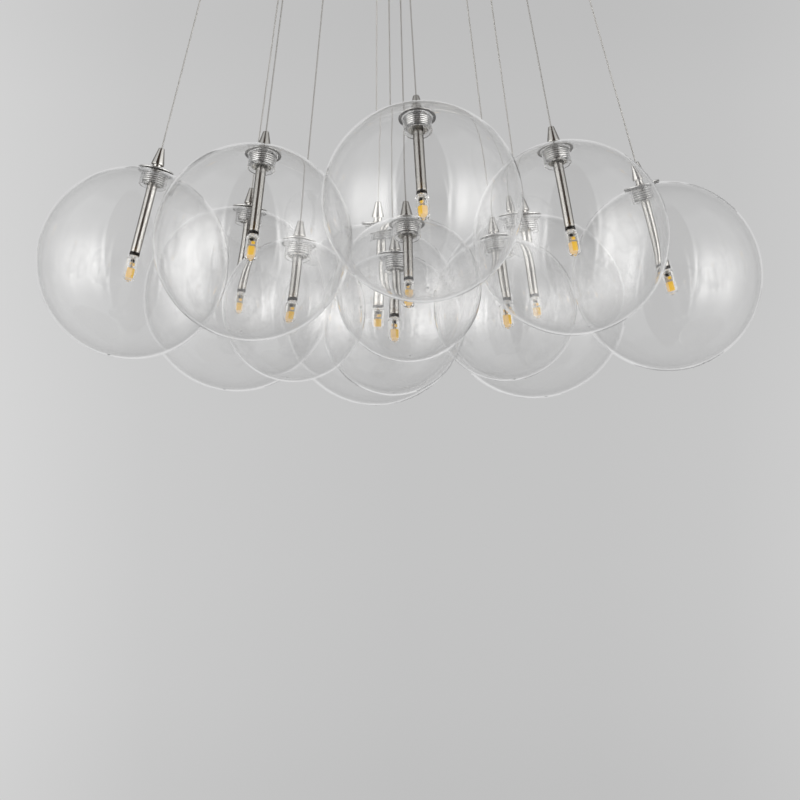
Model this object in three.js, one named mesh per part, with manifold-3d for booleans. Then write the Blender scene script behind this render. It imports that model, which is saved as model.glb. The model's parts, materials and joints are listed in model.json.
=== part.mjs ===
// A cluster pendant light. Twelve clear glass globes hang close together, eight large ones in a
// ring and four small ones lower down inside it. Each globe is screwed to a metal cap on a stem
// that carries a small capsule lamp near the globe's middle, and each hangs by one thin taut
// cable from a round ceiling canopy. Millimetres, +Z up. The origin is the middle of the face
// that meets the ceiling, so the whole light lies below Z = 0. The front of the light is at -Y.
import * as THREE from "three";
import { mergeVertices } from "three/addons/utils/BufferGeometryUtils.js";
import Module from "manifold-3d";

const wasm = await Module();
wasm.setup();

// Clearances
const seat = 0.3; // between a piece and the face that it rests on
const screwPlay = 0.4; // beside a thread, a pin or a stud in its hole
const overrun = 1; // how far a cutting or joining tool passes a face

// Glass globes
const globeDiameter = 200;
const smallGlobeDiameter = 150;
const globeGap = 2; // least distance between two globes at rest
const glassWall = 2;
const neckBore = 25; // inside of the screw neck, which is turned into the globe
const neckWall = 2;
const neckLength = 17;
const globeSegments = 16;
const globeRings = 8;
const smallGlobeSegments = 14;
const smallGlobeRings = 7;

// Stem of each lamp: cable grip, collar, cap, screw skirt, tube and socket
const gripTopDiameter = 6;
const gripBaseDiameter = 13.5;
const gripHeight = 18;
const collarDiameter = 9;
const collarHeight = 5.5;
const capDiameter = 38;
const capThickness = 1.5;
const skirtLength = 15;
const tubeDiameter = 10.4;
const socketDiameter = 10.8;
const socketHeight = 3.5;
const socketAboveCentre = 7.5; // lower face of the socket over the middle of the globe
const socketBore = 5.6;
const socketBoreDepth = 9;
const stemSegments = 10;

// Capsule lamp
const lampDiameter = 13.5;
const lampLength = 28;
const lampSegments = 8;
const pinDiameter = 0.8;
const pinSpacing = 4;
const pinLength = 7.5;
const pinSegments = 5;

// Cables
const cableDiameter = 1.6;
const cableSides = 8;
const cableSteps = 4;
const cableSeat = 0.6; // from the outlet's tip to the middle of the cable's slanted end

// Canopy and its outlets
const canopyMargin = 30; // from the outlets' circle to the canopy's side
const canopyDepth = 38;
const canopyWall = 2;
const canopyCorner = 9;
const canopyCornerSteps = 3;
const canopySegments = 30;
const outletCircle = 380;
const outletFlange = 12;
const outletFlangeHeight = 2;
const outletDiameter = 8;
const outletTip = 5;
const outletHeight = 14;
const outletTaper = 8;
const outletSegments = 8;
const suspensionDrop = 383; // from the outlets' tips down to the level of the ring

// Ceiling bar, its studs and their cap nuts
const barLength = 290;
const barWidth = 36;
const barThickness = 3;
const barBearing = 159; // degrees, chosen so that the studs pass between the outlets
const studInset = 19; // from each end of the bar to its stud
const studDiameter = 5;
const fixingHole = 6;
const fixingSpacing = 150;
const nutDiameter = 12;
const nutHeight = 10;
const nutBoreDepth = 6;
const boltSegments = 10;

// Driver and terminal block, which stand on the canopy's floor
const driverLength = 150;
const driverWidth = 46;
const driverHeight = 24;
const driverCorner = 4;
const driverEar = 14; // length of the screw ear at each end
const driverEarHeight = 3;
const driverEarHole = 5;
const driverFromAxis = 84;
const blockLength = 66;
const blockWidth = 20;
const blockHeight = 17;
const blockShoulder = 7;
const blockPoles = 6;
const blockScrewWell = 5;
const blockWellDepth = 5;
const wellSegments = 8;

// Places of the large globes' outlets and middles, round the light from its left by the front.
// Outlets are given by bearing in degrees and a share of the outlet circle's radius, middles by
// shares of the pitch of two touching globes, and levels by shares of the globe's diameter.
const ringPlaceShares = [
  { bearing: 202, outlet: 0.99, x: -1.33, y: -0.35, level: -0.02 },
  { bearing: 233, outlet: 0.86, x: -0.695, y: -1.135, level: -0.08 },
  { bearing: 273, outlet: 1.04, x: 0.15, y: -1.66, level: 0.01 },
  { bearing: 321, outlet: 0.81, x: 0.905, y: -0.85, level: 0.005 },
  { bearing: 342, outlet: 0.99, x: 1.435, y: 0.11, level: 0.005 },
  { bearing: 59, outlet: 1.04, x: 0.755, y: 0.87, level: 0 },
  { bearing: 95, outlet: 1.04, x: -0.09, y: 1.405, level: 0.06 },
  { bearing: 130, outlet: 0.96, x: -0.825, y: 0.67, level: 0 },
];

// The same for the small globes: left, front, right and back. Their middles are given by shares
// of the small globes' own pitch, and their levels by the least share of their diameter by which
// they hang under the ring.
const innerPlaceShares = [
  { bearing: 154, outlet: 0.39, x: -0.675, y: -0.165, level: 0.2 },
  { bearing: 286, outlet: 0.12, x: 0.11, y: -0.79, level: 0.28 },
  { bearing: 2, outlet: 0.36, x: 0.78, y: -0.04, level: 0.27 },
  { bearing: 92, outlet: 0.66, x: 0.005, y: 0.605, level: 0.2 },
];

// The lamp's outline from its cap to the nub on its tip: shares of its radius and of its length.
const lampOutlineShares = [
  [0, 1],
  [0.8, 1],
  [0.8, 0.94],
  [1, 0.9],
  [1, 0.16],
  [0.82, 0.07],
  [0.2, 0.05],
  [0.14, 0],
  [0, 0],
];

const glass = new THREE.MeshStandardMaterial({
  color: 0xe9eeee,
  roughness: 0.03,
  metalness: 0,
  transparent: true,
  opacity: 0.3,
});
const polishedNickel = new THREE.MeshStandardMaterial({
  color: 0xb9b5ad,
  roughness: 0.14,
  metalness: 1,
});
const satinNickel = new THREE.MeshStandardMaterial({
  color: 0xb4b1ab,
  roughness: 0.32,
  metalness: 1,
});
const clearJacket = new THREE.MeshStandardMaterial({
  color: 0x9a9894,
  roughness: 0.35,
  metalness: 0.3,
});
const lampResin = new THREE.MeshStandardMaterial({
  color: 0xf0c45a,
  roughness: 0.2,
  metalness: 0,
});
const zincPlate = new THREE.MeshStandardMaterial({
  color: 0xa9abac,
  roughness: 0.4,
  metalness: 1,
});
const whitePlastic = new THREE.MeshStandardMaterial({
  color: 0xe6e5e1,
  roughness: 0.5,
  metalness: 0,
});

// Turns an outline of [radius, height] points round the Z axis.
function revolve(outline, segments) {
  const points = outline.map(([radius, height]) => new THREE.Vector2(radius, height));
  return new THREE.LatheGeometry(points, segments).rotateX(Math.PI / 2);
}

// Points on a circle's arc in an outline, between two angles measured from the +Z axis.
function arc(radius, from, to, steps) {
  const points = [];
  for (let i = 0; i <= steps; i++) {
    const angle = from + ((to - from) * i) / steps;
    points.push([radius * Math.sin(angle), radius * Math.cos(angle)]);
  }
  return points;
}

function toSolid(geometry) {
  const bare = geometry.clone();
  bare.deleteAttribute("normal");
  bare.deleteAttribute("uv");
  const merged = mergeVertices(bare);
  return new wasm.Manifold(
    new wasm.Mesh({
      numProp: 3,
      vertProperties: merged.attributes.position.array,
      triVerts: new Uint32Array(merged.index.array),
    }),
  );
}

function toGeometry(solid) {
  const mesh = solid.getMesh();
  const geometry = new THREE.BufferGeometry();
  geometry.setAttribute("position", new THREE.BufferAttribute(mesh.vertProperties, mesh.numProp));
  geometry.setIndex(new THREE.BufferAttribute(mesh.triVerts, 1));
  geometry.computeVertexNormals();
  return geometry;
}

function join(base, pieces) {
  return pieces.reduce((sum, piece) => sum.add(toSolid(piece)), base);
}

function cut(base, tools) {
  return tools.reduce((rest, tool) => rest.subtract(toSolid(tool)), base);
}

// An upright cylinder by its diameter, its place and the heights of its ends.
function post(diameter, x, y, bottom, top, segments) {
  return new THREE.CylinderGeometry(diameter / 2, diameter / 2, top - bottom, segments)
    .rotateX(Math.PI / 2)
    .translate(x, y, (top + bottom) / 2);
}

function mesh(name, geometry, material) {
  const piece = new THREE.Mesh(geometry, material);
  piece.name = name;
  return piece;
}

// Height of the top of the neck over the middle of a globe.
function crownHeight(diameter) {
  return Math.sqrt((diameter / 2) ** 2 - (neckBore / 2) ** 2);
}

// Height of the cap's lower face over the middle of a globe.
function capHeight(diameter) {
  return crownHeight(diameter) + seat;
}

// Height of the tip of the cable grip over the middle of a globe.
function gripTipHeight(diameter) {
  return capHeight(diameter) + capThickness + collarHeight + gripHeight;
}

// A blown shell with an open screw neck turned into it.
function globeGeometry(diameter, segments, rings) {
  const outer = diameter / 2;
  const inner = outer - glassWall;
  const bore = neckBore / 2;
  const neck = bore + neckWall;
  const crown = crownHeight(diameter);
  const outside = arc(outer, Math.PI, Math.asin(bore / outer), rings);
  const inside = arc(inner, Math.asin(neck / inner), Math.PI, rings);
  outside[0][0] = 0;
  inside[rings][0] = 0;
  const throat = [
    [bore, crown - neckLength],
    [neck, crown - neckLength],
  ];
  return revolve([...outside, ...throat, ...inside], segments);
}

// Grip, collar, cap, skirt, tube and socket, turned as one stack on the stem's tube.
function stemGeometry(diameter) {
  const cap = capHeight(diameter);
  const capTop = cap + capThickness;
  const collarTop = capTop + collarHeight;
  const skirt = neckBore / 2 - screwPlay;
  const socketTop = socketAboveCentre + socketHeight;
  const outline = [
    [0, socketAboveCentre + socketBoreDepth],
    [socketBore / 2, socketAboveCentre + socketBoreDepth],
    [socketBore / 2, socketAboveCentre],
    [socketDiameter / 2, socketAboveCentre],
    [socketDiameter / 2, socketTop],
    [tubeDiameter / 2, socketTop],
    [tubeDiameter / 2, cap - skirtLength],
    [skirt, cap - skirtLength],
    [skirt, cap],
    [capDiameter / 2, cap],
    [capDiameter / 2, capTop],
    [collarDiameter / 2, capTop],
    [collarDiameter / 2, collarTop],
    [gripBaseDiameter / 2, collarTop],
    [gripTopDiameter / 2, collarTop + gripHeight],
    [0, collarTop + gripHeight],
  ];
  return revolve(outline, stemSegments);
}

// A capsule with two pins, which stand in the socket's bore.
function lampGeometry() {
  const top = socketAboveCentre - seat;
  const foot = top - lampLength;
  const outline = lampOutlineShares
    .map(([radiusShare, heightShare]) => [
      (radiusShare * lampDiameter) / 2,
      foot + heightShare * lampLength,
    ])
    .reverse();
  const pins = [-pinSpacing / 2, pinSpacing / 2].map((x) =>
    post(pinDiameter, x, 0, top - overrun, top + pinLength, pinSegments),
  );
  return toGeometry(join(toSolid(revolve(outline, lampSegments)), pins));
}

// A round cable, straight because the lamp's weight holds it taut.
function cableGeometry(top, bottom) {
  const section = new THREE.Shape();
  for (let i = 0; i < cableSides; i++) {
    const angle = (2 * Math.PI * i) / cableSides;
    const x = (cableDiameter / 2) * Math.cos(angle);
    const y = (cableDiameter / 2) * Math.sin(angle);
    if (i === 0) section.moveTo(x, y);
    else section.lineTo(x, y);
  }
  const path = new THREE.LineCurve3(
    new THREE.Vector3(0, 0, top),
    new THREE.Vector3(0, 0, bottom),
  );
  return new THREE.ExtrudeGeometry(section, {
    steps: cableSteps,
    bevelEnabled: false,
    extrudePath: path,
  });
}

const outletLevel = -canopyDepth - outletHeight;
const ringLevel = outletLevel - suspensionDrop;

function outletPlace(place) {
  const bearing = THREE.MathUtils.degToRad(place.bearing);
  const radius = (place.outlet * outletCircle) / 2;
  return new THREE.Vector3(radius * Math.cos(bearing), radius * Math.sin(bearing), outletLevel);
}

const ringMiddles = ringPlaceShares.map((place) => {
  const pitch = globeDiameter + globeGap;
  return new THREE.Vector3(
    place.x * pitch,
    place.y * pitch,
    ringLevel + place.level * globeDiameter,
  );
});

// A small globe hangs at its own level, or lower where the ring's globes would touch it.
function innerMiddle(place) {
  const pitch = smallGlobeDiameter + globeGap;
  const reach = (globeDiameter + smallGlobeDiameter) / 2 + globeGap;
  const x = place.x * pitch;
  const y = place.y * pitch;
  let level = ringLevel - place.level * smallGlobeDiameter;
  for (const middle of ringMiddles) {
    const away = Math.hypot(x - middle.x, y - middle.y);
    if (away < reach) level = Math.min(level, middle.z - Math.sqrt(reach ** 2 - away ** 2));
  }
  return new THREE.Vector3(x, y, level);
}

const innerMiddles = innerPlaceShares.map(innerMiddle);

// One hanging lamp. Its group's origin is the tip of its outlet, and its -Z axis runs down the
// cable and the stem to the middle of the globe.
function hangingLamp(number, outlet, middle, diameter, shapes) {
  const name = String(number).padStart(2, "0");
  const upward = outlet.clone().sub(middle);
  const reach = upward.length();
  const drop = new THREE.Group();
  drop.name = `drop_${name}`;
  drop.position.copy(outlet);
  drop.quaternion.setFromUnitVectors(new THREE.Vector3(0, 0, 1), upward.normalize());
  const cable = cableGeometry(-cableSeat, gripTipHeight(diameter) + seat - reach);
  drop.add(mesh(`cable_${name}`, cable, clearJacket));
  const fitting = new THREE.Group();
  fitting.position.z = -reach;
  fitting.add(mesh(`stem_${name}`, shapes.stem, polishedNickel));
  fitting.add(mesh(`globe_${name}`, shapes.globe, glass));
  fitting.add(mesh(`bulb_${name}`, shapes.lamp, lampResin));
  drop.add(fitting);
  return drop;
}

function studPlaces() {
  const bearing = THREE.MathUtils.degToRad(barBearing);
  const reach = barLength / 2 - studInset;
  return [reach, -reach].map((radius) => [
    radius * Math.cos(bearing),
    radius * Math.sin(bearing),
  ]);
}

function outletGeometry(place) {
  const at = outletPlace(place);
  const top = -canopyDepth + canopyWall / 2;
  const flangeFoot = -canopyDepth - outletFlangeHeight;
  const outline = [
    [0, outletLevel],
    [outletTip / 2, outletLevel],
    [outletDiameter / 2, outletLevel + outletTaper],
    [outletDiameter / 2, flangeFoot],
    [outletFlange / 2, flangeFoot],
    [outletFlange / 2, top],
    [0, top],
  ];
  return revolve(outline, outletSegments).translate(at.x, at.y, 0);
}

// A spun dish, open at the top, with the outlets on its floor and two holes for the studs.
function canopyGeometry() {
  const outer = outletCircle / 2 + canopyMargin;
  const inner = outer - canopyWall;
  const innerCorner = canopyCorner - canopyWall;
  const middle = [outer - canopyCorner, canopyCorner - canopyDepth];
  const place = ([radius, height]) => [middle[0] + radius, middle[1] + height];
  const outside = arc(canopyCorner, Math.PI, Math.PI / 2, canopyCornerSteps).map(place);
  const inside = arc(innerCorner, Math.PI / 2, Math.PI, canopyCornerSteps).map(place);
  const outline = [
    [0, -canopyDepth],
    ...outside,
    [outer, -seat],
    [inner, -seat],
    ...inside,
    [0, canopyWall - canopyDepth],
  ];
  const dish = toSolid(revolve(outline, canopySegments));
  const outlets = [...ringPlaceShares, ...innerPlaceShares].map(outletGeometry);
  const holes = studPlaces().map(([x, y]) =>
    post(
      studDiameter + 2 * screwPlay,
      x,
      y,
      -canopyDepth - overrun,
      canopyWall - canopyDepth + overrun,
      boltSegments,
    ),
  );
  return toGeometry(cut(join(dish, outlets), holes));
}

// A flat bar with two holes for ceiling screws and two threaded studs welded to it.
function ceilingBarGeometry() {
  const bar = new THREE.Shape();
  bar.moveTo(-barLength / 2, -barWidth / 2);
  bar.lineTo(barLength / 2, -barWidth / 2);
  bar.lineTo(barLength / 2, barWidth / 2);
  bar.lineTo(-barLength / 2, barWidth / 2);
  for (const x of [-fixingSpacing / 2, fixingSpacing / 2]) {
    bar.holes.push(new THREE.Path().absarc(x, 0, fixingHole / 2, 0, 2 * Math.PI, true));
  }
  const plate = new THREE.ExtrudeGeometry(bar, {
    depth: barThickness,
    bevelEnabled: false,
    curveSegments: boltSegments,
  })
    .translate(0, 0, -barThickness)
    .rotateZ(THREE.MathUtils.degToRad(barBearing));
  const foot = -canopyDepth - seat - nutBoreDepth + screwPlay;
  const studs = studPlaces().map(([x, y]) =>
    post(studDiameter, x, y, foot, -barThickness / 2, boltSegments),
  );
  return toGeometry(join(toSolid(plate), studs));
}

// A domed nut with a blind bore, which closes on the canopy's floor.
function capNutGeometry([x, y]) {
  const top = -canopyDepth - seat;
  const foot = top - nutHeight;
  const bore = studDiameter / 2 + screwPlay;
  const radius = nutDiameter / 2;
  const shoulder = foot + radius;
  const dome = arc(radius, Math.PI, Math.PI / 2, canopyCornerSteps).map(([across, up]) => [
    across,
    shoulder + up,
  ]);
  dome[0][0] = 0;
  const outline = [
    ...dome,
    [radius, top],
    [bore, top],
    [bore, top - nutBoreDepth],
    [0, top - nutBoreDepth],
  ];
  return revolve(outline, boltSegments).translate(x, y, 0);
}

function roundedPlate(length, width, corner, depth) {
  const x = length / 2;
  const y = width / 2;
  const plate = new THREE.Shape();
  plate.absarc(x - corner, y - corner, corner, 0, Math.PI / 2, false);
  plate.absarc(corner - x, y - corner, corner, Math.PI / 2, Math.PI, false);
  plate.absarc(corner - x, corner - y, corner, Math.PI, 1.5 * Math.PI, false);
  plate.absarc(x - corner, corner - y, corner, 1.5 * Math.PI, 2 * Math.PI, false);
  return new THREE.ExtrudeGeometry(plate, { depth, bevelEnabled: false, curveSegments: 2 });
}

// A closed driver case with a low screw ear at each end.
function driverGeometry() {
  const floor = canopyWall - canopyDepth + seat;
  const box = roundedPlate(driverLength, driverWidth, driverCorner, driverHeight);
  const base = roundedPlate(
    driverLength + 2 * driverEar,
    driverWidth / 2,
    driverCorner,
    driverEarHeight,
  );
  const ears = [-1, 1].map((side) =>
    post(
      driverEarHole,
      (side * (driverLength + driverEar)) / 2,
      0,
      -overrun,
      driverEarHeight + overrun,
      wellSegments,
    ),
  );
  const solid = cut(join(toSolid(box), [base]), ears);
  return toGeometry(solid).translate(0, driverFromAxis, floor);
}

// A terminal strip: a stepped moulding with one screw well to each pole on either side.
function terminalBlockGeometry() {
  const floor = canopyWall - canopyDepth + seat;
  const half = blockWidth / 2;
  const step = blockWidth / 5;
  const profile = new THREE.Shape();
  profile.moveTo(-half, 0);
  profile.lineTo(half, 0);
  profile.lineTo(half, blockShoulder);
  profile.lineTo(half - step, blockShoulder);
  profile.lineTo(half - step, blockHeight);
  profile.lineTo(step - half, blockHeight);
  profile.lineTo(step - half, blockShoulder);
  profile.lineTo(-half, blockShoulder);
  const body = new THREE.ExtrudeGeometry(profile, { depth: blockLength, bevelEnabled: false })
    .translate(0, 0, -blockLength / 2)
    .rotateX(Math.PI / 2)
    .rotateZ(Math.PI / 2);
  const pitch = blockLength / blockPoles;
  const wells = [];
  for (let i = 0; i < blockPoles; i++) {
    const x = (i + 0.5) * pitch - blockLength / 2;
    const bottom = blockHeight - blockWellDepth;
    wells.push(post(blockScrewWell, x, 0, bottom, blockHeight + overrun, wellSegments));
  }
  return toGeometry(cut(toSolid(body), wells)).translate(0, 0, floor);
}

const light = new THREE.Group();
light.name = "cluster_pendant_light";

const canopy = new THREE.Group();
canopy.name = "canopy";
canopy.add(mesh("ceiling_bar", ceilingBarGeometry(), zincPlate));
canopy.add(mesh("canopy_shell", canopyGeometry(), satinNickel));
const nutNames = ["cap_nut_left", "cap_nut_right"];
studPlaces().forEach((place, i) => canopy.add(mesh(nutNames[i], capNutGeometry(place), satinNickel)));
canopy.add(mesh("led_driver", driverGeometry(), whitePlastic));
canopy.add(mesh("terminal_block", terminalBlockGeometry(), whitePlastic));
light.add(canopy);

const lamp = lampGeometry();
const large = {
  stem: stemGeometry(globeDiameter),
  globe: globeGeometry(globeDiameter, globeSegments, globeRings),
  lamp,
};
const small = {
  stem: stemGeometry(smallGlobeDiameter),
  globe: globeGeometry(smallGlobeDiameter, smallGlobeSegments, smallGlobeRings),
  lamp,
};
ringPlaceShares.forEach((place, i) => {
  light.add(hangingLamp(i + 1, outletPlace(place), ringMiddles[i], globeDiameter, large));
});
innerPlaceShares.forEach((place, i) => {
  const number = ringPlaceShares.length + i + 1;
  light.add(hangingLamp(number, outletPlace(place), innerMiddles[i], smallGlobeDiameter, small));
});

export default light;
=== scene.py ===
"""Looks of a cluster pendant light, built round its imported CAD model.

Twelve clear glass globes hang on thin taut cables from a round ceiling canopy. Lengths are in
metres and +Z is up. The origin is the middle of the face that meets the ceiling, and the front
of the light is at -Y. Each hanging lamp is built round the middle of its globe, with the cable
and the stem along its own +Z axis.
"""

import itertools
import json
import logging
import math
import random
from dataclasses import dataclass, field
from enum import Enum
from typing import Callable

import bmesh
import bpy
from mathutils import Matrix, Vector, noise


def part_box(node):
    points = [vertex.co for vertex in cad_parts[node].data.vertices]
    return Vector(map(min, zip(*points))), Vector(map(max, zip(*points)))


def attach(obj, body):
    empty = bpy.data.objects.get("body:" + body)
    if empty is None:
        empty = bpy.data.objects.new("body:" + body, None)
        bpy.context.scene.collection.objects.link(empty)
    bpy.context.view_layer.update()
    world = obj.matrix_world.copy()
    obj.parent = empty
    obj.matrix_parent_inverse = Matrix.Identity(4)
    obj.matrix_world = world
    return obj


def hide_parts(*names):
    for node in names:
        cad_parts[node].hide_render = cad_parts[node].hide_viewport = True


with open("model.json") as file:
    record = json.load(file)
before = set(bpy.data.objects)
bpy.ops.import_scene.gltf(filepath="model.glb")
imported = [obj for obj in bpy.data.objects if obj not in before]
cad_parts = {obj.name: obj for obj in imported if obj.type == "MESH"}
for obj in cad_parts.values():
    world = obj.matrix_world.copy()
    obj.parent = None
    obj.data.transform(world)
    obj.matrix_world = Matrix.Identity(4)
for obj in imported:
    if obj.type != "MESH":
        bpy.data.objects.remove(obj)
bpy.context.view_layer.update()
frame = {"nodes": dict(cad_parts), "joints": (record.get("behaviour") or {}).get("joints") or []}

log = logging.getLogger("pendant")

Point = tuple[float, float]
Corner = tuple[float, float, float]
Colour = tuple[float, float, float]
Band = tuple[float, float, float, float]
Stops = tuple[Point, ...]
Ripple = Callable[[float, float], float]

UP = Vector((0, 0, 1))
SHARP_ANGLE = math.radians(42)
BEVEL_ANGLE = math.radians(50)
FLAT_ANGLE = math.radians(2)
SAME_PLACE = 0.000001
LEAST_CORNER = 0.02
CURVE_SHARE = 0.3
HEAD_STEPS = 12
DEGREES = 180 / math.pi
SEED = 12


class Size(Enum):
    """The two sizes of globe, by outer diameter."""

    LARGE = 0.2
    SMALL = 0.15


class Slot(Enum):
    """The record's material slots."""

    GLASS = "clear_glass"
    POLISHED = "polished_nickel"
    SATIN = "satin_nickel"
    JACKET = "clear_jacket"
    RESIN = "lamp_resin"
    ZINC = "zinc_plate"
    PLASTIC = "white_plastic"


def by_node(operation: str, swapped: bool = False) -> Callable[..., "Value"]:
    """Returns a method that leaves an operation on values and numbers to a Math node."""

    def work(value: "Value", *others: "Value | float") -> "Value":
        """Returns the operation's result."""
        values = (*others, value) if swapped else (value, *others)
        return value.graph.math(operation, *values)

    return work


class Value:
    """A shader socket that takes part in arithmetic. A comparison gives 1 or 0."""

    __add__ = by_node("ADD")
    __radd__ = by_node("ADD", swapped=True)
    __sub__ = by_node("SUBTRACT")
    __mul__ = by_node("MULTIPLY")
    __rmul__ = by_node("MULTIPLY", swapped=True)
    __truediv__ = by_node("DIVIDE")
    __pow__ = by_node("POWER")
    __gt__ = by_node("GREATER_THAN")
    __abs__ = by_node("ABSOLUTE")

    def __init__(self, graph: "Graph", socket: bpy.types.NodeSocket) -> None:
        """Wraps a node's output socket."""
        self.graph = graph
        self.socket = socket


class Graph:
    """A node tree that is written as expressions."""

    def __init__(self, tree: bpy.types.NodeTree) -> None:
        """Empties the tree and takes it over."""
        self.tree = tree
        tree.nodes.clear()

    def node(
        self,
        kind: str,
        settings: dict[str, object] | None = None,
        inputs: dict[str | int, object] | None = None,
    ) -> bpy.types.Node:
        """Adds a node.

        Args:
            kind: The node's type.
            settings: The node's own settings, set first. "stops" holds a ramp's places and greys.
            inputs: Numbers, colours, values or sockets by the name or number of an input.

        Returns:
            The node.
        """
        made = self.tree.nodes.new(kind)
        for name, value in (settings or {}).items():
            if name == "stops":
                self._set_stops(made.color_ramp, value)
            else:
                setattr(made, name, value)
        for name, value in (inputs or {}).items():
            socket = made.inputs[name]
            if isinstance(value, Value):
                self.tree.links.new(value.socket, socket)
            elif isinstance(value, bpy.types.NodeSocket):
                self.tree.links.new(value, socket)
            elif isinstance(value, tuple) and socket.type == "RGBA":
                socket.default_value = (*value, 1.0)
            else:
                socket.default_value = value
        return made

    @staticmethod
    def _set_stops(ramp: bpy.types.ColorRamp, stops: Stops) -> None:
        """Gives a ramp its stops, each a place and a grey level."""
        ramp.elements[0].position = stops[0][0]
        ramp.elements[1].position = stops[-1][0]
        for place, _ in stops[1:-1]:
            ramp.elements.new(place)
        for element, (_, level) in zip(ramp.elements, stops, strict=True):
            element.color = (level, level, level, 1.0)

    def math(self, operation: str, *values: "Value | float") -> Value:
        """Returns the result of a Math node."""
        made = self.node("ShaderNodeMath", {"operation": operation}, dict(enumerate(values)))
        return Value(self, made.outputs[0])

    def mix(self, factor: "Value | float", first: object, second: object) -> Value:
        """Returns a colour that goes from the first to the second as the factor rises."""
        inputs = {0: factor, 6: first, 7: second}
        made = self.node("ShaderNodeMix", {"data_type": "RGBA"}, inputs)
        return Value(self, made.outputs[2])

    def ramp(self, value: Value, stops: Stops) -> Value:
        """Returns a grey level that follows the ramp's stops."""
        made = self.node("ShaderNodeValToRGB", {"stops": stops}, {"Fac": value})
        return Value(self, made.outputs["Color"])

    def smooth(self, value: Value, start: float, end: float) -> Value:
        """Returns 0 before start and 1 after end, with a soft change between them."""
        settings = {"interpolation_type": "SMOOTHSTEP"}
        inputs = {"Value": value, "From Min": start, "From Max": end}
        return Value(self, self.node("ShaderNodeMapRange", settings, inputs).outputs[0])

    def band(self, value: Value, limits: Band) -> Value:
        """Returns 1 between the middle two limits and 0 outside the outer two, with soft changes."""
        start, full, fade, end = limits
        return self.smooth(value, start, full) * self.smooth(value, end, fade)

    def place(self, scale: Corner = (1, 1, 1)) -> Value:
        """Returns the place on the piece in its own axes, scaled."""
        own = self.node("ShaderNodeTexCoord").outputs["Object"]
        inputs = {"Vector": own, "Scale": scale}
        return Value(self, self.node("ShaderNodeMapping", None, inputs).outputs[0])

    def axes(self, vector: Value) -> tuple[Value, Value, Value]:
        """Returns the three parts of a vector."""
        made = self.node("ShaderNodeSeparateXYZ", None, {0: vector})
        return tuple(Value(self, out) for out in made.outputs)

    def noise(self, vector: Value, scale: float, detail: float = 2.0) -> Value:
        """Returns soft noise from 0 to 1, scale features to the metre."""
        inputs = {"Vector": vector, "Scale": scale, "Detail": detail}
        return Value(self, self.node("ShaderNodeTexNoise", None, inputs).outputs["Fac"])

    def bump(self, height: Value, distance: float) -> Value:
        """Returns a normal that follows a height from 0 to 1, distance metres high."""
        inputs = {"Height": height, "Distance": distance, "Strength": 1.0}
        return Value(self, self.node("ShaderNodeBump", None, inputs).outputs[0])

    def surface(self, inputs: dict[str, object]) -> None:
        """Ends the tree in a Principled shader with these inputs."""
        shader = self.node("ShaderNodeBsdfPrincipled", None, inputs)
        self.node("ShaderNodeOutputMaterial", None, {"Surface": shader.outputs[0]})


def shaded(colour: Colour, level: float) -> Colour:
    """Returns a colour made darker or paler, up to white."""
    return tuple(min(1.0, level * part) for part in colour)


@dataclass(frozen=True)
class Finish:
    """A finish that can be put on any piece. Its material is made once."""

    name: str

    def material(self) -> bpy.types.Material:
        """Returns the finish's material."""
        known = bpy.data.materials.get(self.name)
        if known:
            return known
        made = bpy.data.materials.new(self.name)
        made.use_nodes = True
        self.paint(Graph(made.node_tree))
        return made

    def paint(self, graph: Graph) -> None:
        """Adds the finish's nodes to an empty graph."""
        raise NotImplementedError


@dataclass(frozen=True)
class ClearBody(Finish):
    """Clear glass or resin, with the slow waves that blowing or casting leaves."""

    tint: Colour = (1.0, 1.0, 1.0)
    index: float = 1.47
    roughness: float = 0.0
    wave_height: float = 0.00022
    waves_per_metre: float = 21.0
    stretch: Corner = (1.0, 1.0, 0.45)

    def paint(self, graph: Graph) -> None:
        """Adds the nodes of a clear body."""
        waves = graph.noise(graph.place(self.stretch), self.waves_per_metre, detail=1.0)
        graph.surface(
            {
                "Base Color": self.tint,
                "Roughness": self.roughness,
                "IOR": self.index,
                "Transmission Weight": 1.0,
                "Normal": graph.bump(waves, self.wave_height),
            }
        )


@dataclass(frozen=True)
class TurnedMetal(Finish):
    """Plated metal that was turned or spun round its own Z axis.

    Painted shade lies in a thread's root, where root is the radius. Worn places are duller and
    rougher, by wear, than buffed ones.
    """

    colour: Colour = (0.68, 0.665, 0.635)
    roughness: float = 0.19
    edge: Colour = (0.1, 0.08, 0.07)
    ring_height: float = 0.000001
    rings_per_metre: float = 3000.0
    smear: float = 0.96
    wear: float = 0.4
    root: float = 0.0
    buffed: float = 0.85
    dullness: float = 0.9
    root_shade_level: float = 0.12

    def paint(self, graph: Graph) -> None:
        """Adds the nodes of turned metal: fine rings, polishing haze and painted shade in a thread's
        root.
        """
        x, y, z = graph.axes(graph.place())
        radius = (x * x + y * y) ** 0.5
        along = graph.node("ShaderNodeCombineXYZ", None, {0: radius, 2: z}).outputs[0]
        rings = graph.noise(Value(graph, along), self.rings_per_metre, detail=1.0)
        haze = graph.noise(graph.place(), scale=90.0, detail=3.0)
        worn = graph.smooth(haze, start=0.35, end=0.7)
        plate = graph.mix(worn * self.wear, self.colour, shaded(self.colour, self.dullness))
        if self.root:
            # Painted shade: a thin ring at the thread's root is darkened, standing in for the shade
            # there.
            root_shade = graph.smooth(abs(radius - self.root), start=0.00035, end=0.00012)
            plate = graph.mix(root_shade, plate, shaded(self.colour, self.root_shade_level))
        graph.surface(
            {
                "Base Color": plate,
                "Metallic": 1.0,
                "Roughness": self.roughness * (self.buffed + self.wear * worn),
                "Specular Tint": self.edge,
                "Anisotropic": self.smear,
                "Anisotropic Rotation": 0.25,
                "Normal": graph.bump(rings, self.ring_height),
            }
        )


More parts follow.
